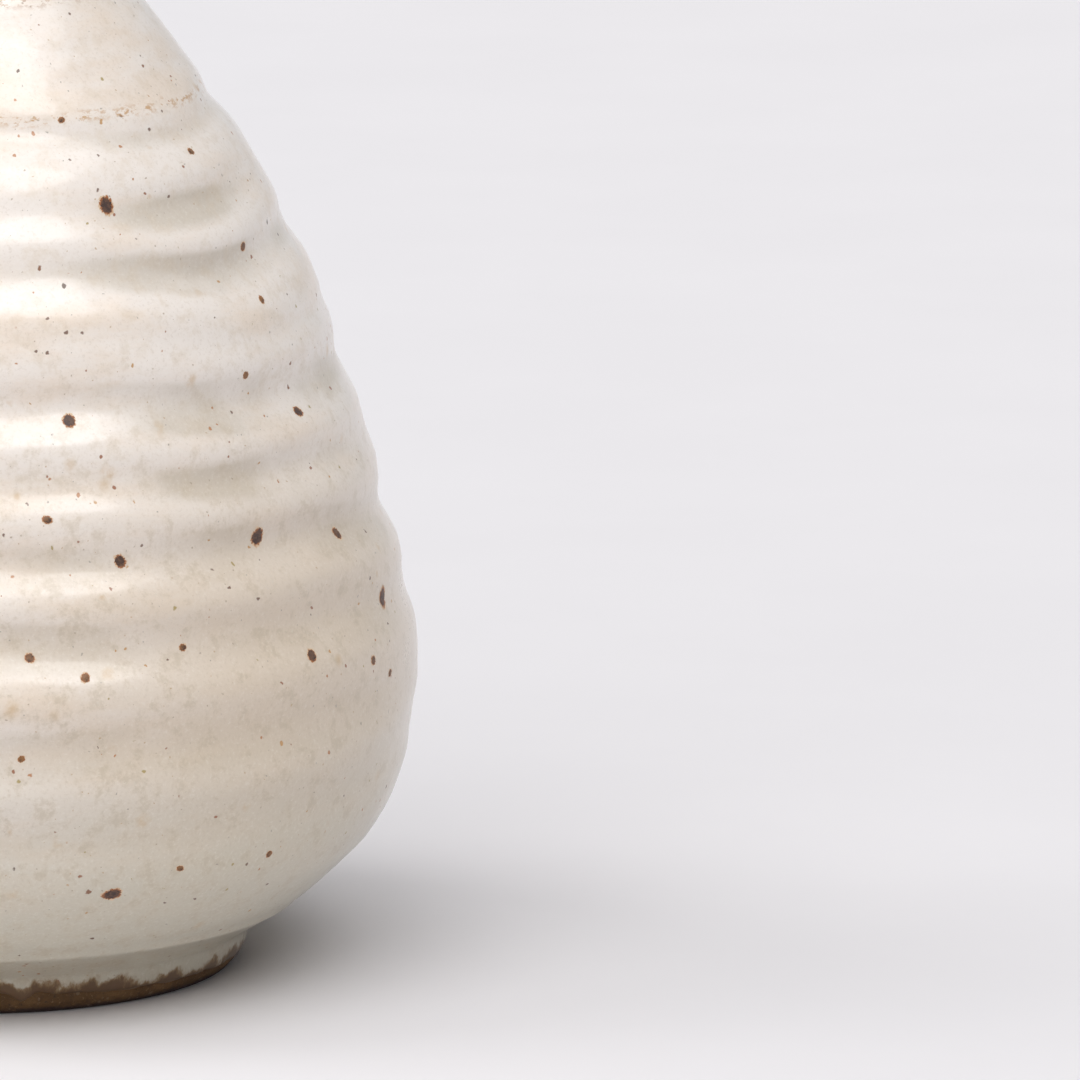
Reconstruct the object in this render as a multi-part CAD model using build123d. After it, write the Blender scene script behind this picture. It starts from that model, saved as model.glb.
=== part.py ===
from build123d import *
import math
import os

# A small stoneware bottle vase, thrown on the wheel in one piece of clay, trimmed at the foot,
# glazed by pouring inside and dipping outside. Millimetres, +Z up, standing on Z = 0 with the
# wheel's axis on the Z axis. Azimuths are in degrees from the front (-Y) towards +X.

# ---- outline of the finished pot, measured outside the glaze: radius and height of each place
belly_radius = 50.6
belly_height = 33.0
under_belly_radius = 45.7
under_belly_height = 16.6
flank_radius = 45.0
flank_height = 61.0
shoulder_radius = 36.2
shoulder_height = 86.5
collar_radius = 23.3
collar_height = 107.0
neck_radius = 13.2
neck_height = 126.0
neck_top_radius = 13.9
neck_top_height = 138.0
lip_radius = 17.0
lip_angle = 75.0
total_height = 150.0

# ---- foot ring, turned from the thick base when the clay is leather hard
foot_radius = 30.2
foot_height = 4.6
foot_taper = 0.5
foot_chamfer_width = 1.2
foot_chamfer_height = 1.3
foot_ring_width = 5.0
foot_recess_depth = 2.8
foot_recess_slope = 0.8
trim_radius = 37.0
trim_height = 8.2
trim_angle = 43.0

# ---- walls and coats
wall_thickness = 5.0
neck_wall_thickness = 3.8
throat_bottom_height = 119.0
throat_length = 13.0
floor_thickness = 6.2
lip_thickness = 3.4
glaze_thickness = 0.6
glaze_line_height = 2.2

# ---- throwing rings: heights of the grooves the fingers left, and how deep they are
groove_heights = [29.0, 44.0, 54.5, 71.0, 87.0, 101.0, 115.5]
ring_depth = 0.9
ridge_share = 0.42

# ---- iron grains in the clay that burn through the glaze: azimuth, height, width and tallness
front_grains = [
    (29.7, 93.8, 1.7, 2.3), (20.8, 17.3, 2.3, 1.6), (47.0, 56.4, 1.9, 2.1), (22.7, 55.9, 1.3, 1.5),
    (51.9, 42.5, 1.4, 1.4), (62.9, 68.6, 1.5, 1.1), (16.9, 71.5, 1.5, 1.4), (62.7, 87.3, 1.1, 1.2),
    (74.9, 45.4, 1.7, 2.4), (66.1, 54.3, 1.3, 1.3), (65.9, 39.7, 1.2, 1.1), (71.5, 37.2, 0.9, 0.9),
    (50.9, 74.0, 0.9, 0.9), (12.1, 60.9, 1.1, 0.9), (9.0, 45.8, 1.1, 1.0), (16.2, 43.6, 1.0, 1.0),
    (30.8, 45.7, 1.0, 0.8), (59.9, 81.5, 0.8, 0.9), (57.6, 98.3, 0.9, 0.8), (45.7, 19.6, 0.9, 0.9),
    (30.5, 19.7, 0.9, 0.8), (23.9, 103.3, 0.8, 0.8), (7.6, 34.5, 0.8, 0.8),
]
back_grains = [
    (103.0, 62.0, 0.9, 1.2), (118.0, 38.0, 1.6, 1.4), (132.0, 90.5, 1.1, 1.0), (151.0, 80.0, 1.9, 1.6),
    (173.0, 60.0, 1.3, 1.5), (188.0, 97.0, 1.0, 0.9), (201.0, 24.0, 2.1, 1.5), (219.0, 68.0, 1.2, 1.4),
    (238.0, 48.0, 1.8, 1.9), (254.0, 84.0, 1.0, 1.2), (272.0, 60.0, 1.3, 1.1), (289.0, 31.0, 1.5, 1.7),
    (306.0, 76.0, 1.9, 1.4), (323.0, 50.0, 1.1, 1.3), (337.0, 94.0, 1.4, 1.2), (349.0, 27.0, 1.6, 1.3),
]

# ---- worked out from the sizes above
lip_round = lip_thickness / 2
lip_height = total_height - lip_round - glaze_thickness
foot_bottom_radius = foot_radius - foot_taper
foot_contact_radius = foot_bottom_radius - foot_chamfer_width
floor_height = foot_recess_depth + foot_recess_slope + floor_thickness
throat_radius = neck_radius - neck_wall_thickness - 2 * glaze_thickness
level = (1, 0)
upright = (0, 1)
lip_direction = (math.cos(math.radians(lip_angle)), math.sin(math.radians(lip_angle)))
even_pull = (1, 1)
trim_direction = (math.cos(math.radians(trim_angle)), math.sin(math.radians(trim_angle)))

# The pot's mean outline, from the edge of the trimmed band up to the lip, without its rings.
mean_outline = Spline(
    (trim_radius, trim_height),
    (under_belly_radius, under_belly_height),
    (belly_radius, belly_height),
    (flank_radius, flank_height),
    (shoulder_radius, shoulder_height),
    (collar_radius, collar_height),
    (neck_radius, neck_height),
    (neck_top_radius, neck_top_height),
    (lip_radius, lip_height),
    tangents=(trim_direction, lip_direction),
    tangent_scalars=even_pull,
)


def place_at_height(height):
    """The share of the mean outline's length at which it reaches a height."""
    low, high = 0.0, 1.0
    for _ in range(40):
        middle = (low + high) / 2
        if mean_outline.position_at(middle).Y < height:
            low = middle
        else:
            high = middle
    return (low + high) / 2


def outward_normal(share):
    tangent = mean_outline.tangent_at(share)
    return Vector(tangent.Y, -tangent.X)


def inset_point(height, depth):
    """The point at a height of the mean outline, moved into the wall by a depth."""
    share = place_at_height(height)
    point = mean_outline.position_at(share) - outward_normal(share) * depth
    return (point.X, point.Y)


def ring_points(depth):
    """Grooves and the ridges above them, up the outside of the pot, at a depth in the wall."""
    points = [inset_point(under_belly_height, depth)]
    tops = groove_heights[1:] + [neck_height]
    for groove, next_groove in zip(groove_heights, tops):
        ridge = groove + (next_groove - groove) * ridge_share
        points.append(inset_point(groove, depth + ring_depth / 2))
        points.append(inset_point(ridge, depth - ring_depth / 2))
    return points


def outside_edges(depth):
    """Outside of the wall from the foot ring's top to the lip: the trimmed band, then the rings."""
    corner = (foot_radius + glaze_thickness - depth, foot_height + depth)
    trim_edge = inset_point(trim_height, depth)
    rings = Spline(
        trim_edge,
        *ring_points(depth),
        inset_point(neck_height, depth),
        inset_point(neck_top_height, depth),
        (lip_radius - depth, lip_height),
        tangents=(trim_direction, lip_direction),
        tangent_scalars=even_pull,
    )
    return [Line(corner, trim_edge), rings]


def inside_edges(coat):
    """Inside of the wall, raised by a coat's thickness: floor to neck, straight throat, mouth."""
    depth = glaze_thickness + wall_thickness + coat
    lip_depth = glaze_thickness + lip_thickness + coat
    bore = throat_radius + glaze_thickness - coat
    throat = Line((bore, throat_bottom_height), (bore, throat_bottom_height + throat_length))
    hollow = Spline(
        (0, floor_height + coat),
        inset_point(under_belly_height, depth),
        inset_point(belly_height, depth),
        inset_point(flank_height, depth),
        inset_point(shoulder_height, depth),
        inset_point(collar_height, depth),
        throat @ 0,
        tangents=(level, upright),
        tangent_scalars=even_pull,
    )
    mouth = Spline(
        throat @ 1,
        (lip_radius - lip_depth, lip_height),
        tangents=(upright, lip_direction),
        tangent_scalars=even_pull,
    )
    return [hollow, throat, mouth]


def lip_arc(start_angle, coat):
    """A quarter of the rounded lip, from start_angle, at a coat's thickness over the clay."""
    lip_centre = (lip_radius - glaze_thickness - lip_round, lip_height)
    return CenterArc(lip_centre, lip_round + coat, start_angle, 90)


def turned(edges):
    """A closed outline, drawn as radius and height, spun about the wheel's axis."""
    face = Face(Wire(edges))
    return revolve(Plane.XZ * face, Axis.Z, 360, clean=False)


def foot_wall_radius(height):
    """Radius of the bare foot ring's tapered wall at a height."""
    wall_rise = foot_height + glaze_thickness - foot_chamfer_height
    return foot_bottom_radius + foot_taper * (height - foot_chamfer_height) / wall_rise


def make_clay_body():
    """The pot itself: foot ring, trimmed band, ringed wall, neck and rounded lip in one piece."""
    band, rings = outside_edges(glaze_thickness)
    inner_foot_radius = foot_contact_radius - foot_ring_width
    underside = Polyline(
        (0, floor_height),
        (0, floor_height - floor_thickness),
        (inner_foot_radius, foot_recess_depth),
        (inner_foot_radius, 0),
        (foot_contact_radius, 0),
        (foot_bottom_radius, foot_chamfer_height),
        band @ 0,
    )
    lip_outer = lip_arc(0, 0)
    lip_inner = lip_arc(90, 0)
    return turned([*underside.edges(), band, rings, lip_outer, lip_inner, *inside_edges(0)])


def make_outer_coat():
    """The dipped coat, from the glaze line on the foot ring up to the middle of the lip."""
    outer_band, outer_rings = outside_edges(0)
    inner_band, inner_rings = outside_edges(glaze_thickness)
    line_radius = foot_wall_radius(glaze_line_height)
    glaze_line = Line((line_radius, glaze_line_height), outer_band @ 0)
    foot_wall = Line((line_radius, glaze_line_height), inner_band @ 0)
    lip_outer = lip_arc(0, glaze_thickness)
    lip_inner = lip_arc(0, 0)
    crest = Line(lip_inner @ 1, lip_outer @ 1)
    return turned([
        glaze_line, outer_band, outer_rings, lip_outer, crest, lip_inner, inner_rings, inner_band, foot_wall,
    ])


def make_liner_coat():
    """The poured coat inside, from the middle of the lip down over the floor."""
    wall_side = inside_edges(0)
    open_side = inside_edges(glaze_thickness)
    lip_outer = lip_arc(90, glaze_thickness)
    lip_inner = lip_arc(90, 0)
    crest = Line(lip_inner @ 0, lip_outer @ 0)
    floor_middle = Line(wall_side[0] @ 0, open_side[0] @ 0)
    return turned([floor_middle, *open_side, lip_outer, crest, lip_inner, *wall_side])


def grain_cutter(azimuth, height, width, tallness):
    """An oval bar across the coat where an iron grain sits, square to the wall."""
    share = place_at_height(height)
    point = mean_outline.position_at(share)
    normal = outward_normal(share)
    turn = math.radians(azimuth)
    around = (math.sin(turn), -math.cos(turn))
    centre = (point.X * around[0], point.X * around[1], point.Y)
    direction = (normal.X * around[0], normal.X * around[1], normal.Y)
    sideways = (math.cos(turn), math.sin(turn), 0)
    reach = ring_depth + 2 * glaze_thickness
    oval = Plane(origin=centre, x_dir=sideways, z_dir=direction) * Ellipse(width / 2, tallness / 2)
    return extrude(oval, reach, both=True)


def write_part(name, shape):
    shape.label = name
    export_step(shape, f"parts/{name}.step")


clay_body = make_clay_body()
outer_coat = make_outer_coat()
liner_glaze = make_liner_coat()
cutters = [grain_cutter(*grain) for grain in front_grains + back_grains]
grains = [outer_coat & cutter for cutter in cutters]
outer_glaze = outer_coat - cutters

os.makedirs("parts", exist_ok=True)
write_part("clay_body", clay_body)
write_part("outer_glaze", outer_glaze)
write_part("liner_glaze", liner_glaze)
write_part("iron_spots", Compound([grain.solid() for grain in grains]))
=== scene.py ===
import math
import random

import bmesh
import bpy
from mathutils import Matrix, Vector, geometry, noise
from mathutils.bvhtree import BVHTree


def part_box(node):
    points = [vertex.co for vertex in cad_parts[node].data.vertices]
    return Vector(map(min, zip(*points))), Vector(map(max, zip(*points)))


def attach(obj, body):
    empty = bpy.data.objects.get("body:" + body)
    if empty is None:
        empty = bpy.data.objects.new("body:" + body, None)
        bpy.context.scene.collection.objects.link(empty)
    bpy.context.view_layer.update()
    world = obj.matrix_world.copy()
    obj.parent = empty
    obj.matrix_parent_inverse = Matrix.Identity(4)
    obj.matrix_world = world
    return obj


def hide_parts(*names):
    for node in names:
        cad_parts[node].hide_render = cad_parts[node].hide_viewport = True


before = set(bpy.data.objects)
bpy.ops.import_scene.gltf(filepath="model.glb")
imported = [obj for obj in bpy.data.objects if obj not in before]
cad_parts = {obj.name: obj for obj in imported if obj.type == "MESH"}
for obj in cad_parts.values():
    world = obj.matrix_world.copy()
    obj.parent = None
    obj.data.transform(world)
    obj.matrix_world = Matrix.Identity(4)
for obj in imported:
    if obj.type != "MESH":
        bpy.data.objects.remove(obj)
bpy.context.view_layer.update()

# ---- The thrown wall ---------------------------------------------------------------------------
# The pot is thrown in one piece from iron-bearing stoneware. Its wall narrows from a full belly
# to a short neck, and the potter's finger has left a rising groove round it every turn. Every
# coat lies on this wall, so its outline and its grooves are settled first.

MM = 0.001
POT_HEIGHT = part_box("outer_glaze")[1][2]
COAT = 0.6 * MM
LIP_ROUND = 1.7 * MM
LIP_HEIGHT = POT_HEIGHT - LIP_ROUND - COAT

# Outside of the glaze: radius and height in millimetres, from the edge of the trimmed band up.
wall_outline = [
    (37.1, 8.3), (40.4, 11.2), (45.4, 16.6), (48.3, 22.0), (50.2, 28.5), (50.7, 36.0),
    (49.5, 45.0), (47.7, 52.0), (45.1, 61.0), (40.8, 74.5), (36.1, 86.5), (29.8, 98.0),
    (23.3, 107.0), (17.6, 115.0), (14.2, 121.0), (13.2, 126.0), (13.1, 131.5), (13.9, 138.0),
    (16.0, 144.5), (17.0, LIP_HEIGHT / MM),
]

# Each groove's heights and depths where it passes the azimuths below (in degrees from the front,
# -Y, towards +X), and its half width, in millimetres. Round the back it runs near their mean.
groove_azimuths = (15, 55, 90)
BACK_AZIMUTH = 235
grooves = [
    ((115.8, 115.4, 115.0), (0.65, 0.70, 0.45), 1.6),
    ((101.2, 100.3, 101.2), (0.95, 0.95, 0.80), 1.4),
    ((93.1, 92.6, 93.5), (0.55, 1.30, 0.20), 1.7),
    ((87.0, 85.2, 86.9), (1.05, 1.90, 1.00), 1.8),
    ((79.5, 77.4, 78.0), (0.15, 0.45, 0.20), 1.1),
    ((72.5, 70.6, 71.2), (1.65, 2.40, 1.10), 2.3),
    ((64.4, 62.8, 63.0), (0.85, 1.85, 0.40), 1.9),
    ((55.9, 55.0, 54.0), (1.60, 2.40, 1.20), 2.1),
    ((46.4, 45.8, 44.0), (2.00, 2.00, 1.00), 2.5),
    ((35.2, 34.5, 36.0), (1.50, 1.30, 0.30), 2.9),
    ((24.2, 25.2, 29.1), (1.00, 1.00, 0.65), 3.0),
    ((130.5, 130.5, 130.5), (0.20, 0.20, 0.20), 2.2),
]
RIDGE_RISE = 0.36
GROOVE_WANDER = 0.7
TRIMMED_TOP = 9.0
wander = random.Random(7)
groove_courses = []
for heights, depths, half_width in grooves:
    back_height = sum(heights) / 3 + wander.uniform(-1.2, 1.2)
    back_depth = sum(depths) / 3 * wander.uniform(0.8, 1.3)
    course = [*zip(groove_azimuths, heights, depths), (BACK_AZIMUTH, back_height, back_depth)]
    groove_courses.append(([*course, (course[0][0] + 360, *course[0][1:])], half_width))


def azimuth_of(point):
    return math.degrees(math.atan2(point.x, -point.y))


def groove_at(course, azimuth):
    """Height and depth of a groove at an azimuth, eased from one place of its course to the next."""
    azimuth = (azimuth - groove_azimuths[0]) % 360 + groove_azimuths[0]
    for here, there in zip(course, course[1:]):
        if azimuth <= there[0]:
            share = (azimuth - here[0]) / (there[0] - here[0])
            ease = share * share * (3 - 2 * share)
            return [a + (b - a) * ease for a, b in zip(here[1:], there[1:])]
    return course[-1][1:]


def facing(azimuth):
    """The level direction that an azimuth looks in."""
    turn = math.radians(azimuth)
    return Vector((math.sin(turn), -math.cos(turn), 0))


def relief(point):
    """How far the wall stands out of its mean outline here, in millimetres."""
    azimuth, z = azimuth_of(point), point.z / MM
    around = facing(azimuth)
    out = RIDGE_RISE
    for number, (course, half_width) in enumerate(groove_courses):
        level, depth = groove_at(course, azimuth)
        level += GROOVE_WANDER * noise.noise(around * 1.7 + Vector((0, 0, number * 5.3)))
        away = (z - level) / half_width
        if abs(away) < 3.5:
            out -= depth * math.exp(-0.5 * away * away)
    out += 0.28 * noise.noise(around * 1.6 + Vector((0, 0, z * 0.06)))
    out += 0.14 * noise.noise(around * 2.2 + Vector((0, 0, z * 0.42 + 9)))
    out += 0.05 * noise.noise(around * 4.0 + Vector((0, 0, z * 1.10 + 31)))
    above_trimming = min(max((z - TRIMMED_TOP) / 7.0, 0), 1)
    below_lip = min(max((LIP_HEIGHT / MM - z) / 6.0, 0), 1)
    return out * above_trimming * below_lip


def smooth_path(corners, spacing):
    """Points along a smooth curve through the corners, about spacing apart."""
    path = [corners[0]]
    ends = [corners[0] * 2 - corners[1], *corners, corners[-1] * 2 - corners[-2]]
    for before, start, end, after in zip(ends, ends[1:], ends[2:], ends[3:]):
        pull = (end - start).length / 3
        leave = start + (end - before).normalized() * pull
        arrive = end - (after - start).normalized() * pull
        count = max(2, round((end - start).length / spacing) + 1)
        path += geometry.interpolate_bezier(start, leave, arrive, end, count)[1:]
    return path


SHARP_CORNER = math.radians(50)


def profile(points):
    """Outline points given as radius and height in millimetres, in the plane they are spun from."""
    return [Vector((radius * MM, 0, height * MM)) for radius, height in points]


def arc(centre, radius, start, end, count=7):
    """Points on a round of the outline; angles in degrees, 0 outwards and 90 up."""
    steps = [math.radians(start + (end - start) * i / (count - 1)) for i in range(count)]
    return [centre + radius * Vector((math.cos(a), 0, math.sin(a))) for a in steps]


def inset(path, depth):
    """The outline moved square to itself into the wall, by a depth."""
    moved = []
    for i, point in enumerate(path):
        along = (path[min(i + 1, len(path) - 1)] - path[max(i - 1, 0)]).normalized()
        moved.append(point - depth * Vector((along.z, 0, -along.x)))
    return moved


def spun(outline, steps, closed=False):
    """Spins an outline about the wheel's axis."""
    shape = bmesh.new()
    verts = [shape.verts.new(point) for point in outline]
    for pair in zip(verts, verts[1:] + (verts[:1] if closed else [])):
        shape.edges.new(pair)
    bmesh.ops.spin(
        shape, geom=shape.verts[:] + shape.edges[:], cent=(0, 0, 0), axis=(0, 0, 1),
        angle=math.tau, steps=steps, use_merge=True, use_duplicate=False,
    )
    bmesh.ops.remove_doubles(shape, verts=shape.verts, dist=0.001 * MM)
    bmesh.ops.recalc_face_normals(shape, faces=shape.faces)
    return shape


def press_grooves(shape, wanted=lambda vert: True):
    """Moves the wall out and in by its relief, and keeps the relief for the glaze's colours."""
    crest = shape.verts.layers.float.new("crest")
    for vert in shape.verts:
        if wanted(vert):
            out = relief(vert.co)
            outward = Vector((vert.co.x, vert.co.y, 0)).normalized()
            vert.co += outward * out * MM
            vert[crest] = out


def finished(name, shape, material):
    """Makes a smooth-shaded piece, crisp at its sharp corners, that rides on the pot."""
    for face in shape.faces:
        face.smooth = True
    for edge in shape.edges:
        edge.smooth = edge.calc_face_angle(0) < SHARP_CORNER
    mesh = bpy.data.meshes.new(name)
    shape.to_mesh(mesh)
    shape.free()
    mesh.materials.append(material)
    piece = bpy.data.objects.new(name, mesh)
    bpy.context.scene.collection.objects.link(piece)
    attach(piece, "root")
    return piece


def put(tree, kind, inputs=None, **settings):
    """Adds a node. Its inputs are numbers, colours or the outputs of other nodes."""
    node = tree.nodes.new(kind)
    for setting, value in settings.items():
        setattr(node, setting, value)
    for socket, value in (inputs or {}).items():
        if isinstance(value, bpy.types.NodeSocket):
            tree.links.new(value, node.inputs[socket])
        else:
            node.inputs[socket].default_value = value
    return node


def blank_material(name):
    material = bpy.data.materials.new(name)
    material.use_nodes = True
    tree = material.node_tree
    return material, tree, tree.nodes["Principled BSDF"]


def millimetres(tree, stretch=(1, 1, 1)):
    """The pot's own coordinates in millimetres, stretched where a pattern runs round the pot."""
    place = put(tree, "ShaderNodeTexCoord")
    scale = [1000 * factor for factor in stretch]
    return put(tree, "ShaderNodeMapping", {"Vector": place.outputs["Object"], "Scale": scale}).outputs[0]


def noise_of(tree, place, scale, detail=3.0, rough=0.55):
    inputs = {"Vector": place, "Scale": scale, "Detail": detail, "Roughness": rough}
    return put(tree, "ShaderNodeTexNoise", inputs).outputs["Fac"]


def between(tree, value, low, high, to_low=0.0, to_high=1.0):
    """A value's way from low to high, smoothly, as a number from to_low to to_high."""
    inputs = {"Value": value, "From Min": low, "From Max": high, "To Min": to_low, "To Max": to_high}
    return put(tree, "ShaderNodeMapRange", inputs, interpolation_type="SMOOTHSTEP").outputs[0]


def calc(tree, operation, *values):
    return put(tree, "ShaderNodeMath", dict(enumerate(values)), operation=operation).outputs[0]


def times(tree, first, second):
    return calc(tree, "MULTIPLY", first, second)


def plus(tree, first, second):
    return calc(tree, "ADD", first, second)


def blend_colour(tree, share, first, second):
    """Second over first, by a share from 0 to 1."""
    node = put(tree, "ShaderNodeMix", data_type="RGBA", clamp_factor=True)
    for number, value in ((0, share), (6, first), (7, second)):
        if isinstance(value, bpy.types.NodeSocket):
            tree.links.new(value, node.inputs[number])
        elif number:
            node.inputs[number].default_value = (*value, 1)
        else:
            node.inputs[number].default_value = value
    return node.outputs[2]


def dress(tree, shader, colour, roughness, bump):
    """Gives a material its colour, roughness and bump."""
    for socket, output in (("Base Color", colour), ("Roughness", roughness), ("Normal", bump.outputs[0])):
        tree.links.new(output, shader.inputs[socket])


# ---- The clay body -----------------------------------------------------------------------------
# Stoneware clay, thrown, then turned at the leather-hard stage to a foot ring with a chamfered
# edge and a shallow recess. Only the foot and its underside stay bare; the kiln toasts them brown.

CLAY_STEPS = 144
foot_underside = [
    (0.0, 3.6), (12.0, 3.25), (21.6, 2.9), (22.8, 2.7), (23.3, 2.1), (23.45, 0.6), (23.9, 0.05),
    (24.6, 0.0), (28.5, 0.0), (28.95, 0.12), (29.75, 1.0),
]
foot_wall = [(29.98, 1.4), (30.08, 2.1), (30.18, 2.9), (30.3, 3.8), (30.6, 4.95)]
trimmed_clay = [(31.3, 5.45), (32.4, 6.1), (34.0, 7.05), (35.6, 8.0), (36.4, 8.55)]
clay_inside = [
    (0.0, 9.8), (9.0, 9.85), (18.0, 10.1), (26.0, 11.2), (33.6, 14.0), (39.6, 18.6), (43.4, 25.0),
    (45.0, 33.0), (44.4, 42.5), (42.4, 51.0), (39.6, 60.0), (35.4, 73.0), (31.0, 84.0),
    (24.8, 95.5), (17.9, 104.5), (12.0, 111.0), (9.2, 116.5), (8.8, 121.0), (8.8, 131.0),
    (9.7, 137.5), (11.8, 143.5), (13.0, LIP_HEIGHT / MM),
]
lip_centre = Vector((17.0 * MM - COAT - LIP_ROUND, 0, LIP_HEIGHT))
CLAY_SPACING = 2.2 * MM
clay_wall = inset(smooth_path(profile(wall_outline), CLAY_SPACING), COAT)[1:-1]
under_the_coat = profile(foot_wall + trimmed_clay) + clay_wall + arc(lip_centre, LIP_ROUND, 0, 90)
hollow_wall = smooth_path(profile(clay_inside), CLAY_SPACING)
clay_outline = profile(foot_underside) + under_the_coat
clay_outline += arc(lip_centre, LIP_ROUND, 90, 180)[1:-1] + hollow_wall[::-1]


def on_the_outside(vert):
    """Whether a point is on the outside of the wall, above the trimmed band."""
    return vert.co.z > TRIMMED_TOP * MM and vert.normal.dot(Vector((vert.co.x, vert.co.y, 0))) > 0


shape = spun(clay_outline, CLAY_STEPS)
shape.normal_update()
press_grooves(shape, on_the_outside)

toasted_clay, tree, shader = blank_material("toasted_clay")
place = millimetres(tree)
spot = put(tree, "ShaderNodeSeparateXYZ", {"Vector": place}).outputs
flat_place = put(tree, "ShaderNodeCombineXYZ", {"X": spot["X"], "Y": spot["Y"]}).outputs[0]
radius = put(tree, "ShaderNodeVectorMath", {0: flat_place}, operation="LENGTH").outputs["Value"]
turning = put(tree, "ShaderNodeCombineXYZ", {"X": radius, "Z": spot["Z"]}).outputs[0]
cloud = noise_of(tree, place, 0.16, 5, 0.6)
flush = noise_of(tree, place, 0.55, 4, 0.6)
grit = noise_of(tree, place, 2.6, 3, 0.7)
turned_lines = noise_of(tree, turning, 2.2, 2, 0.6)
toast = blend_colour(tree, between(tree, cloud, 0.36, 0.64), (0.115, 0.061, 0.026), (0.200, 0.110, 0.047))
toast = blend_colour(tree, between(tree, flush, 0.52, 0.72), toast, (0.085, 0.050, 0.032))
toast = blend_colour(tree, between(tree, grit, 0.56, 0.74), toast, (0.31, 0.20, 0.115))
toast = blend_colour(tree, between(tree, grit, 0.40, 0.27), toast, (0.045, 0.030, 0.022))
recess = between(tree, radius, 24.0, 20.5)
toast = blend_colour(tree, times(tree, recess, 0.72), toast, (0.40, 0.275, 0.175))
# The clay is darker along the lowest outer edge of the foot ring, below a wavy line.
wavy_edge_height = plus(tree, spot["Z"], times(tree, flush, 1.6))
outer_edge = between(tree, radius, 27.4, 28.6)
dark_band = times(tree, between(tree, wavy_edge_height, 1.75, 0.95), outer_edge)
toast = blend_colour(tree, dark_band, toast, (0.060, 0.036, 0.032))
grains = put(tree, "ShaderNodeTexVoronoi", {"Vector": place, "Scale": 1.1}).outputs
grain_size = calc(tree, "LESS_THAN", grains["Distance"], 0.26)
pale_grain = times(tree, grain_size, between(tree, noise_of(tree, place, 0.9), 0.5, 0.6))
toast = blend_colour(tree, times(tree, pale_grain, 0.22), toast, (0.50, 0.40, 0.30))
clay_rough = between(tree, grit, 0.3, 0.7, 0.66, 0.92)
tooth = plus(tree, times(tree, turned_lines, 1.3), grit)
clay_bump = put(tree, "ShaderNodeBump", {"Height": tooth, "Distance": 0.11 * MM, "Strength": 0.8})
dress(tree, shader, toast, clay_rough, clay_bump)
shader.inputs["Specular IOR Level"].default_value = 0.28

clay_body = finished("clay_body_thrown", shape, toasted_clay)
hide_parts("clay_body")

# ---- The outer glaze ---------------------------------------------------------------------------
# A satin cream feldspar glaze. The pot was dipped upside down, so the coat runs from the lip to a
# ragged line on the foot ring, gathers a little there, and breaks thin and tan on lip and ridges.

GLAZE_STEPS = 240
LINE_HEIGHT = 2.0
FOOT_CORNER = 4.9
glaze_skirt = [
    (30.12, LINE_HEIGHT), (30.24, 2.03), (30.4, 2.14), (30.54, 2.4), (30.66, 2.8), (30.76, 3.3),
    (30.86, 3.9), (31.02, 4.4), (31.4, 4.78), (32.2, 5.3), (33.4, 6.03), (34.8, 6.87),
    (36.0, 7.57), (36.75, 7.98), (37.15, 8.3), (37.38, 8.62),
]


def glaze_line(azimuth):
    """Height of the glaze's ragged lower edge on the foot ring, in millimetres."""
    around = facing(azimuth)
    sweep = 0.55 * noise.noise(around * 1.3 + Vector((0, 0, 3)))
    scallop = 0.36 * noise.noise(around * 7.0) + 0.22 * noise.noise(around * 17.0)
    wiped = 0.75 * math.exp(-(((azimuth - 2) / 17) ** 2))
    drip = 1.1 * math.exp(-(((azimuth - 10.5) / 2.6) ** 2))
    return max(1.85 + sweep + scallop + wiped - drip, 0.95)


def let_down(shape):
    """Draws the coat's lower edge to its ragged line, and keeps the height above that line."""
    skirt = shape.verts.layers.float.new("skirt")
    for vert in shape.verts:
        height = vert.co.z / MM
        line = glaze_line(azimuth_of(vert.co))
        if height < FOOT_CORNER:
            share = (height - LINE_HEIGHT) / (FOOT_CORNER - LINE_HEIGHT)
            height = line + share * (FOOT_CORNER - line)
            vert.co.z = height * MM
        vert[skirt] = height - line


COAT_SPACING = 0.85 * MM
coat_side = smooth_path(profile(wall_outline), COAT_SPACING)
start = next(i for i, point in enumerate(coat_side) if point.z > TRIMMED_TOP * MM)
coat_outline = profile(glaze_skirt) + coat_side[start:-1] + arc(lip_centre, LIP_ROUND + COAT, 0, 90, 9)
under_the_coat = [point for point in under_the_coat if point.z > LINE_HEIGHT * MM]
shape = spun(coat_outline + under_the_coat[::-1], GLAZE_STEPS, closed=True)
press_grooves(shape)
let_down(shape)
glaze_surface = BVHTree.FromBMesh(shape)

speckled_glaze, tree, shader = blank_material("speckled_glaze")
place = millimetres(tree)
height = put(tree, "ShaderNodeSeparateXYZ", {"Vector": place}).outputs["Z"]
banded = millimetres(tree, (1, 1, 3.2))
crest = put(tree, "ShaderNodeAttribute", attribute_name="crest").outputs["Fac"]
skirt = put(tree, "ShaderNodeAttribute", attribute_name="skirt").outputs["Fac"]
cloud = noise_of(tree, place, 0.035, 4, 0.55)
drift = noise_of(tree, banded, 0.055, 5, 0.6)
dapple = noise_of(tree, place, 0.42, 4, 0.6)
fine = noise_of(tree, place, 2.4, 3, 0.7)
CREAM = (0.878, 0.810, 0.748)
PEACH = (0.850, 0.735, 0.625)
TAN = (0.720, 0.570, 0.400)
BROKEN_TAN = (0.340, 0.200, 0.100)
# Painted shade: the warm tan below stands for the shaded lower middle and +X side.
WARM_SHADE_TAN = (0.680, 0.567, 0.440)
# The grey below is thick glaze, darkened further with painted shade for the downward-facing lower belly.
GREY_GLAZE_AND_SHADE = (0.600, 0.560, 0.452)
warm = plus(tree, times(tree, between(tree, crest, -0.1, 0.6), 0.12), drift)
glaze = blend_colour(tree, between(tree, warm, 0.42, 0.72), CREAM, PEACH)
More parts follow.
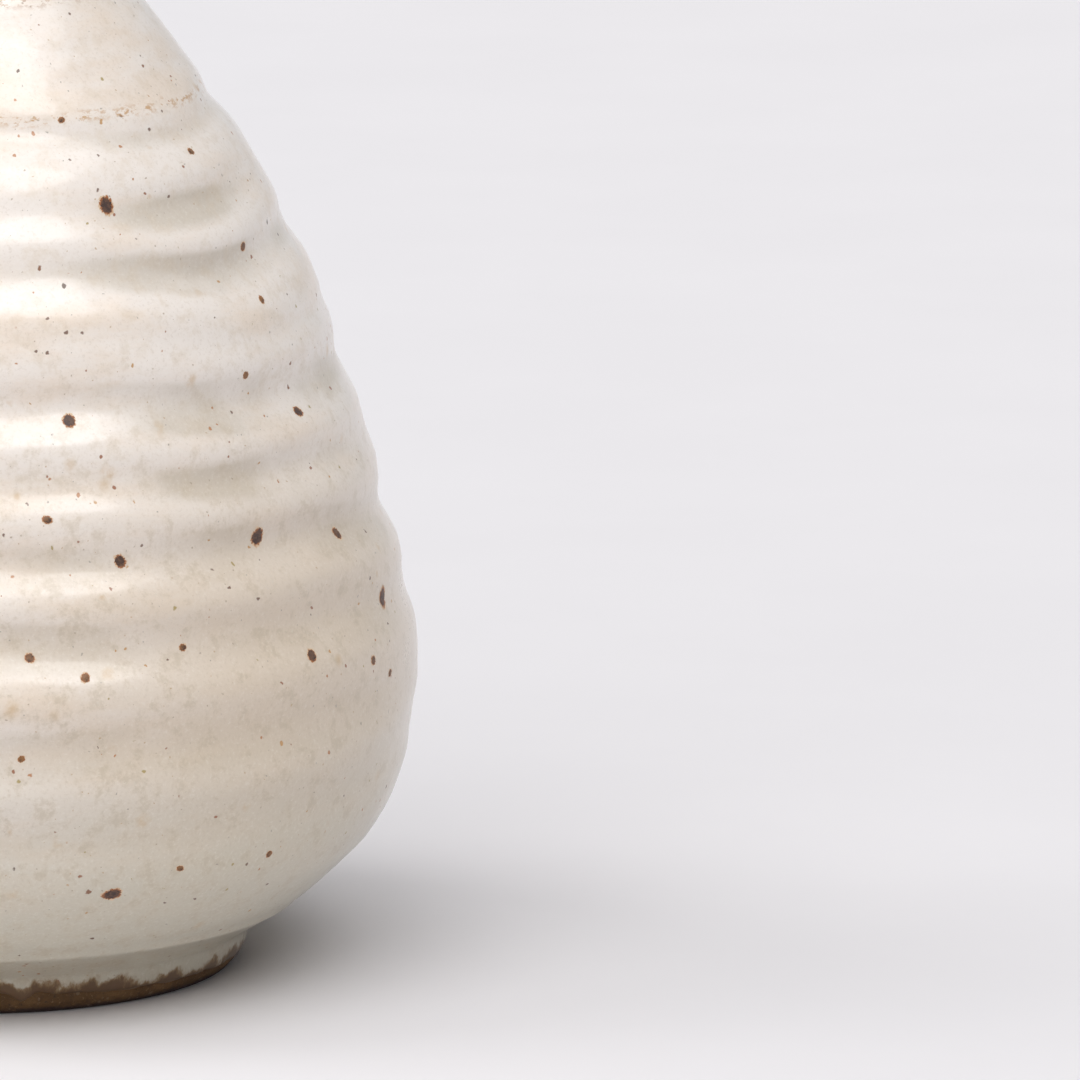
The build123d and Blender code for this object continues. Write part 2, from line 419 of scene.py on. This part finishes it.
# Painted shade: the glaze darkens and warms towards +X, the side turned away from the lights.
across = put(tree, "ShaderNodeSeparateXYZ", {"Vector": place}).outputs["X"]
shaded_side = between(tree, plus(tree, across, times(tree, drift, 16)), 8, 42)
# Glaze pooled thick in the grooves is greyer; the darkening there is also painted groove shade, stronger
# on the +X side away from the lights.
pooled_and_shade = times(tree, between(tree, crest, -0.25, -0.85), between(tree, cloud, 0.4, 0.6))
pooled_and_shade = times(tree, pooled_and_shade, plus(tree, times(tree, shaded_side, 0.35), 0.40))
glaze = blend_colour(tree, pooled_and_shade, glaze, (0.560, 0.490, 0.390))
# Painted shade: a warm tan laid over the lower middle, mostly on the +X side, and faintly lower down.
mid_down = between(tree, plus(tree, height, times(tree, drift, 14)), 82, 52)
warm_shade_share = times(tree, plus(tree, times(tree, shaded_side, 0.60), 0.12), mid_down)
warm_shade_share = plus(tree, warm_shade_share, times(tree, between(tree, height, 66, 38), 0.12))
glaze = blend_colour(tree, warm_shade_share, glaze, WARM_SHADE_TAN)
# Greyer where the glaze runs thick low down, and darker as painted shade where the lower belly faces the
# floor.
low_down = between(tree, plus(tree, height, times(tree, drift, 14)), 46, 16)
glaze = blend_colour(tree, times(tree, low_down, 0.9), glaze, GREY_GLAZE_AND_SHADE)
glaze = blend_colour(tree, times(tree, between(tree, dapple, 0.46, 0.70), 0.22), glaze, TAN)
mottle = noise_of(tree, place, 0.42, 6, 0.72)
mottle_share = times(tree, between(tree, mottle, 0.50, 0.66), between(tree, height, 92, 40, 0.06, 0.30))
glaze = blend_colour(tree, mottle_share, glaze, (0.42, 0.36, 0.26))
glaze = blend_colour(tree, times(tree, between(tree, fine, 0.52, 0.70), 0.22), glaze, (0.50, 0.41, 0.31))
glaze = blend_colour(tree, times(tree, between(tree, fine, 0.46, 0.30), 0.18), glaze, (0.96, 0.93, 0.88))

SHAKE = 0.7
MIDDLE_GREY = (0.5, 0.5, 0.5)
wobble = put(tree, "ShaderNodeTexNoise", {"Vector": place, "Scale": 1.3, "Detail": 2}).outputs["Color"]
wobble = put(tree, "ShaderNodeVectorMath", {0: wobble, 1: MIDDLE_GREY}, operation="SUBTRACT").outputs[0]
wobble = put(tree, "ShaderNodeVectorMath", {0: wobble, "Scale": SHAKE}, operation="SCALE").outputs[0]
shaken = put(tree, "ShaderNodeVectorMath", {0: place, 1: wobble}, operation="ADD").outputs[0]


def specks(cells, share, small, large, soft):
    """Specks from one scatter: how much speck is here, and a chance number for its colour."""
    scatter = put(tree, "ShaderNodeTexVoronoi", {"Vector": shaken, "Scale": cells}).outputs
    chance = put(tree, "ShaderNodeSeparateColor", {"Color": scatter["Color"]}).outputs
    size = between(tree, chance[1], 0, 1, small * cells, large * cells)
    present = calc(tree, "LESS_THAN", chance[0], share)
    inside = calc(tree, "DIVIDE", scatter["Distance"], size)
    return times(tree, present, between(tree, inside, 1.0, 1.0 - soft)), chance[2]


def speck_colours(chance, colours):
    ramp = put(tree, "ShaderNodeValToRGB", {"Fac": chance})
    ramp.color_ramp.interpolation = "CONSTANT"
    stops = ramp.color_ramp.elements
    for number, colour in enumerate(colours):
        stop = stops.new(number / len(colours)) if number else stops[0]
        stop.color = (*colour, 1)
    stops.remove(stops[-1])
    return ramp.outputs["Color"]


faint, chance = specks(1.0, 0.70, 0.06, 0.16, 0.5)
faint_colour = speck_colours(chance, [(0.40, 0.30, 0.20), (0.50, 0.33, 0.16), (0.33, 0.28, 0.23)])
glaze = blend_colour(tree, times(tree, faint, 0.7), glaze, faint_colour)
middling, chance = specks(0.55, 0.60, 0.10, 0.30, 0.4)
rusty = [
    (0.30, 0.10, 0.035), (0.52, 0.28, 0.09), (0.15, 0.07, 0.04), (0.40, 0.30, 0.10), (0.46, 0.19, 0.06),
]
glaze = blend_colour(tree, times(tree, middling, 0.9), glaze, speck_colours(chance, rusty))
bold, chance = specks(0.36, 0.08, 0.22, 0.40, 0.3)
burnt = [(0.14, 0.060, 0.030), (0.24, 0.095, 0.038), (0.11, 0.060, 0.036)]
glaze = blend_colour(tree, times(tree, bold, 0.95), glaze, speck_colours(chance, burnt))
blush, chance = specks(0.20, 0.45, 0.5, 1.4, 0.95)
blush = times(tree, times(tree, blush, between(tree, dapple, 0.36, 0.55)), 0.55)
glaze = blend_colour(tree, blush, glaze, (0.60, 0.40, 0.19))


def broken_lip(tree, height, dapple, under):
    """Tan where either coat runs thin over the crest of the lip."""
    wandering = plus(tree, height, times(tree, dapple, 1.6))
    thin = between(tree, wandering, POT_HEIGHT / MM - 1.2, POT_HEIGHT / MM + 0.8)
    return blend_colour(tree, times(tree, thin, 0.7), under, BROKEN_TAN)


def ring_of_dashes(level, half_width, amount, colour, under):
    """Broken tan dashes where the coat thinned along one groove."""
    away = calc(tree, "ABSOLUTE", calc(tree, "SUBTRACT", height, level))
    away = plus(tree, away, times(tree, dapple, 1.2))
    here = between(tree, away, half_width + 0.9, 0.45)
    dashes = between(tree, noise_of(tree, millimetres(tree, (1, 1, 2.0)), 0.75, 4, 0.65), 0.50, 0.60)
    return blend_colour(tree, times(tree, times(tree, here, dashes), amount), under, colour)


glaze = ring_of_dashes(103.2, 0.7, 0.85, (0.55, 0.31, 0.12), glaze)
glaze = ring_of_dashes(115.3, 0.8, 0.70, (0.38, 0.21, 0.09), glaze)
scorch = noise_of(tree, millimetres(tree, (1, 1, 0.6)), 0.33, 5, 0.62)
burnt_through = calc(tree, "SUBTRACT", times(tree, scorch, 6.0), skirt)
glaze = blend_colour(tree, between(tree, burnt_through, 1.3, 2.1), glaze, (0.30, 0.185, 0.080))
glaze = blend_colour(tree, between(tree, burnt_through, 1.7, 2.5), glaze, (0.140, 0.070, 0.026))
glaze = broken_lip(tree, height, dapple, glaze)
glaze_rough = between(tree, plus(tree, cloud, times(tree, fine, 0.3)), 0.4, 0.9, 0.26, 0.38)
glaze_rough = plus(tree, glaze_rough, times(tree, bold, 0.2))
peel = noise_of(tree, place, 0.30, 3, 0.5)
skin = plus(tree, times(tree, peel, 1.0), times(tree, noise_of(tree, place, 1.4), 0.18))
skin = calc(tree, "SUBTRACT", skin, times(tree, middling, 0.15))
glaze_bump = put(tree, "ShaderNodeBump", {"Height": skin, "Distance": 0.16 * MM, "Strength": 0.6})
dress(tree, shader, glaze, glaze_rough, glaze_bump)
shader.inputs["Specular IOR Level"].default_value = 0.5
shader.inputs["Coat Weight"].default_value = 0.65
shader.inputs["Coat Roughness"].default_value = 0.12

outer_glaze = finished("outer_glaze_coat", shape, speckled_glaze)
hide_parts("outer_glaze")

# ---- Iron spots --------------------------------------------------------------------------------
# Coarse grains of iron in the clay that melted in the kiln and bled up through the coat. Each is a
# thin dark fleck of slag, flush with the glaze, with an uneven outline and a rust-coloured fringe.

FLECK_RISE = 0.05 * MM
FLECK_DEPTH = 0.22 * MM
FRINGE = 1.02


def islands(shape):
    """The vertices of each separate solid in a mesh."""
    unseen = set(shape.verts)
    while unseen:
        seed = unseen.pop()
        group, waiting = [seed], [seed]
        while waiting:
            vert = waiting.pop()
            for edge in vert.link_edges:
                other = edge.other_vert(vert)
                if other in unseen:
                    unseen.discard(other)
                    group.append(other)
                    waiting.append(other)
        yield [vert.co.copy() for vert in group]


def drape(point, around):
    """The glaze's surface at a point near it, looked for from outside, and its normal there."""
    place, normal, _, _ = glaze_surface.ray_cast(point + around * 8 * MM, -around, 20 * MM)
    return place, normal


def add_fleck(flecks, core, rust, grain, number):
    """One fleck over a grain, its outline uneven, laid on the glaze."""
    middle = sum(grain, Vector()) / len(grain)
    around = Vector((middle.x, middle.y, 0)).normalized()
    sideways = Vector((-around.y, around.x, 0))
    seat, normal = drape(middle, around)
    upwards = normal.cross(sideways).normalized()
    half_width = max(abs((point - middle).dot(sideways)) for point in grain)
    half_height = max(abs((point - middle).dot(upwards)) for point in grain)
    made = bmesh.ops.create_icosphere(flecks, subdivisions=4, radius=1)
    lean = 0.5 * math.sin(number * 2.4)
    rustiness = min(1, max(0, 1.25 - half_width / (0.60 * MM)))
    for vert in made["verts"]:
        across, along, through = vert.co
        reach = math.hypot(across, along)
        ragged = Vector((across, along, number * 3.7)) * (1.9 / max(reach, 0.1))
        outline = 1 + 0.42 * noise.noise(ragged) + 0.22 * noise.noise(ragged * 2.3)
        across, along = across * outline + lean * 0.3 * along, along * outline
        offset = sideways * across * half_width * FRINGE + upwards * along * half_height * FRINGE
        place, out = drape(seat + offset, around)
        rise = through * (FLECK_RISE if through > 0 else FLECK_DEPTH)
        if through > 0:
            rise += 0.02 * MM * noise.noise(Vector((across, along, number)) * 3)
        vert[core] = 1 - reach
        vert[rust] = rustiness
        vert.co = place + out * rise


grains = bmesh.new()
grains.from_mesh(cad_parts["iron_spots"].data)
bmesh.ops.remove_doubles(grains, verts=grains.verts, dist=0.002 * MM)
shape = bmesh.new()
core = shape.verts.layers.float.new("core")
rust = shape.verts.layers.float.new("rust")
for number, grain in enumerate(sorted(islands(grains), key=lambda found: sum(found, Vector()).x)):
    add_fleck(shape, core, rust, grain, number)
grains.free()
bmesh.ops.recalc_face_normals(shape, faces=shape.faces)

iron_spot, tree, shader = blank_material("iron_spot")
place = millimetres(tree)
core_share = put(tree, "ShaderNodeAttribute", attribute_name="core").outputs["Fac"]
rust_share = put(tree, "ShaderNodeAttribute", attribute_name="rust").outputs["Fac"]
blotch = noise_of(tree, place, 1.6, 4, 0.65)
crust = noise_of(tree, place, 5.5, 3, 0.6)
slag = blend_colour(tree, between(tree, blotch, 0.38, 0.62), (0.050, 0.026, 0.020), (0.120, 0.058, 0.036))
slag = blend_colour(tree, between(tree, crust, 0.58, 0.74), slag, (0.22, 0.12, 0.075))
rusted = times(tree, rust_share, between(tree, blotch, 0.32, 0.56))
slag = blend_colour(tree, rusted, slag, (0.42, 0.190, 0.050))
rim = plus(tree, core_share, times(tree, calc(tree, "SUBTRACT", crust, 0.5), 0.14))
slag = blend_colour(tree, between(tree, rim, 0.26, 0.14), slag, (0.36, 0.13, 0.045))
slag = blend_colour(tree, between(tree, rim, 0.12, 0.03), slag, (0.74, 0.56, 0.38))
slag_rough = between(tree, crust, 0.3, 0.7, 0.34, 0.58)
slag_bump = put(tree, "ShaderNodeBump", {"Height": crust, "Distance": 0.06 * MM, "Strength": 0.7})
dress(tree, shader, slag, slag_rough, slag_bump)

iron_spots = finished("iron_spot_flecks", shape, iron_spot)
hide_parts("iron_spots")

# ---- The liner glaze ---------------------------------------------------------------------------
# The same cream glaze, poured in and swilled round before the outside was dipped. It lines the
# hollow from the floor to the crest of the lip, where the two coats meet, and pools on the floor.

LINER_STEPS = 120
SWELLS_START, SWELLS_END = 16, 138
THROAT_START = 104
SWELL = 0.35
open_side = inset(hollow_wall, COAT)
open_side[0].x = 0
liner_outline = hollow_wall[:-1] + arc(lip_centre, LIP_ROUND, 180, 90)
liner_outline += arc(lip_centre, LIP_ROUND + COAT, 90, 180, 9) + open_side[-2::-1]
shape = spun(liner_outline, LINER_STEPS)
for vert in shape.verts:
    height = vert.co.z / MM
    if SWELLS_START < height < SWELLS_END:
        swell = SWELL * math.sin(height * 0.62 + math.radians(azimuth_of(vert.co)))
        fade = min((height - SWELLS_START) / 10, (SWELLS_END - height) / 10, 1)
        swell = min(swell, 0) if height > THROAT_START else swell
        vert.co += Vector((vert.co.x, vert.co.y, 0)).normalized() * abs(swell) * fade * MM

liner_glaze, tree, shader = blank_material("liner_glaze")
place = millimetres(tree)
height = put(tree, "ShaderNodeSeparateXYZ", {"Vector": place}).outputs["Z"]
cloud = noise_of(tree, place, 0.07, 4, 0.6)
dapple = noise_of(tree, place, 0.5, 4, 0.6)
fine = noise_of(tree, place, 2.2, 3, 0.7)
lining = blend_colour(tree, between(tree, cloud, 0.38, 0.66), (0.76, 0.69, 0.60), (0.66, 0.56, 0.44))
lining = blend_colour(tree, times(tree, between(tree, dapple, 0.5, 0.7), 0.4), lining, TAN)
lining = blend_colour(tree, times(tree, between(tree, fine, 0.55, 0.7), 0.3), lining, (0.42, 0.33, 0.24))
lining = broken_lip(tree, height, dapple, lining)
flecks = put(tree, "ShaderNodeTexVoronoi", {"Vector": place, "Scale": 0.6}).outputs
fleck = between(tree, flecks["Distance"], 0.16, 0.10)
lining = blend_colour(tree, times(tree, fleck, 0.8), lining, (0.14, 0.075, 0.045))
lining_rough = between(tree, cloud, 0.3, 0.7, 0.28, 0.42)
lining_bump = put(tree, "ShaderNodeBump", {"Height": dapple, "Distance": 0.05 * MM, "Strength": 0.6})
dress(tree, shader, lining, lining_rough, lining_bump)

liner = finished("liner_glaze_coat", shape, liner_glaze)
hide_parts("liner_glaze")

# ---- The table, the light and the camera -------------------------------------------------------
# A wide, matt, pale table top. Soft light falls from high on the left, with a broad fill from the
# front, and the camera looks a little down at the lower right of the pot through a long lens.

TABLE_SIZE = 12.0
shape = bmesh.new()
bmesh.ops.create_grid(shape, x_segments=8, y_segments=8, size=TABLE_SIZE)
table_paint, tree, shader = blank_material("table_paint")
place = millimetres(tree)
mottle = noise_of(tree, place, 0.02, 3)
paint = blend_colour(tree, between(tree, mottle, 0.3, 0.7), (0.790, 0.778, 0.802), (0.802, 0.790, 0.814))
tree.links.new(paint, shader.inputs["Base Color"])
shader.inputs["Roughness"].default_value = 0.9
shader.inputs["Specular IOR Level"].default_value = 0.1
table_mesh = bpy.data.meshes.new("table_top")
shape.to_mesh(table_mesh)
shape.free()
table_mesh.materials.append(table_paint)
table = bpy.data.objects.new("table_top", table_mesh)
bpy.context.scene.collection.objects.link(table)


def soft_light(name, azimuth, elevation, spread, strength, colour):
    """A wide, far light. Azimuth is from the front (-Y) towards +X, in degrees."""
    lamp = bpy.data.lights.new(name, "SUN")
    lamp.energy = strength
    lamp.angle = math.radians(spread)
    lamp.color = colour
    light = bpy.data.objects.new(name, lamp)
    turn, rise = math.radians(azimuth), math.radians(elevation)
    towards = Vector((math.sin(turn) * math.cos(rise), -math.cos(turn) * math.cos(rise), math.sin(rise)))
    light.rotation_euler = towards.to_track_quat("Z", "Y").to_euler()
    bpy.context.scene.collection.objects.link(light)


soft_light("key_light", -90, 48, 26, 0.66, (1.0, 0.99, 0.98))
soft_light("window_light", -26, 50, 50, 0.80, (1.0, 0.99, 0.985))
soft_light("ceiling_light", 15, 76, 70, 1.34, (1.0, 0.99, 0.985))
soft_light("front_light", 38, 54, 28, 0.45, (1.0, 0.99, 0.985))
soft_light("low_light", -20, 14, 50, 0.30, (1.0, 0.99, 0.98))

ROOM_STRENGTH = 0.15
ROOM_REFLECTED = 0.55
world = bpy.data.worlds.new("studio")
bpy.context.scene.world = world
world.use_nodes = True
tree = world.node_tree
tree.nodes.clear()
rays = put(tree, "ShaderNodeLightPath").outputs
room_light = plus(tree, times(tree, rays["Is Glossy Ray"], ROOM_REFLECTED), ROOM_STRENGTH)
room = put(tree, "ShaderNodeBackground", {"Color": (0.95, 0.97, 1.0, 1), "Strength": room_light})
seen = put(tree, "ShaderNodeBackground", {"Color": (0.831, 0.815, 0.840, 1), "Strength": 1.0})
either = {0: rays["Is Camera Ray"], 1: room.outputs[0], 2: seen.outputs[0]}
mixed = put(tree, "ShaderNodeMixShader", either)
put(tree, "ShaderNodeOutputWorld", {"Surface": mixed.outputs[0]})
bpy.context.scene.view_settings.view_transform = "Standard"

VIEW_WIDTH = 0.1252
VIEW_CENTRE = Vector((0.0649, 0, 0.0495))
CAMERA_DISTANCE = 1.5
CAMERA_ELEVATION = math.radians(11.65)
lens = bpy.data.cameras.new("camera")
lens.sensor_width = 36
lens.lens = lens.sensor_width * CAMERA_DISTANCE / VIEW_WIDTH
lens.clip_end = 30
camera = bpy.data.objects.new("camera", lens)
back = Vector((0, -math.cos(CAMERA_ELEVATION), math.sin(CAMERA_ELEVATION)))
camera.location = VIEW_CENTRE + back * CAMERA_DISTANCE
camera.rotation_euler = back.to_track_quat("Z", "Y").to_euler()
bpy.context.scene.collection.objects.link(camera)
bpy.context.scene.camera = camera
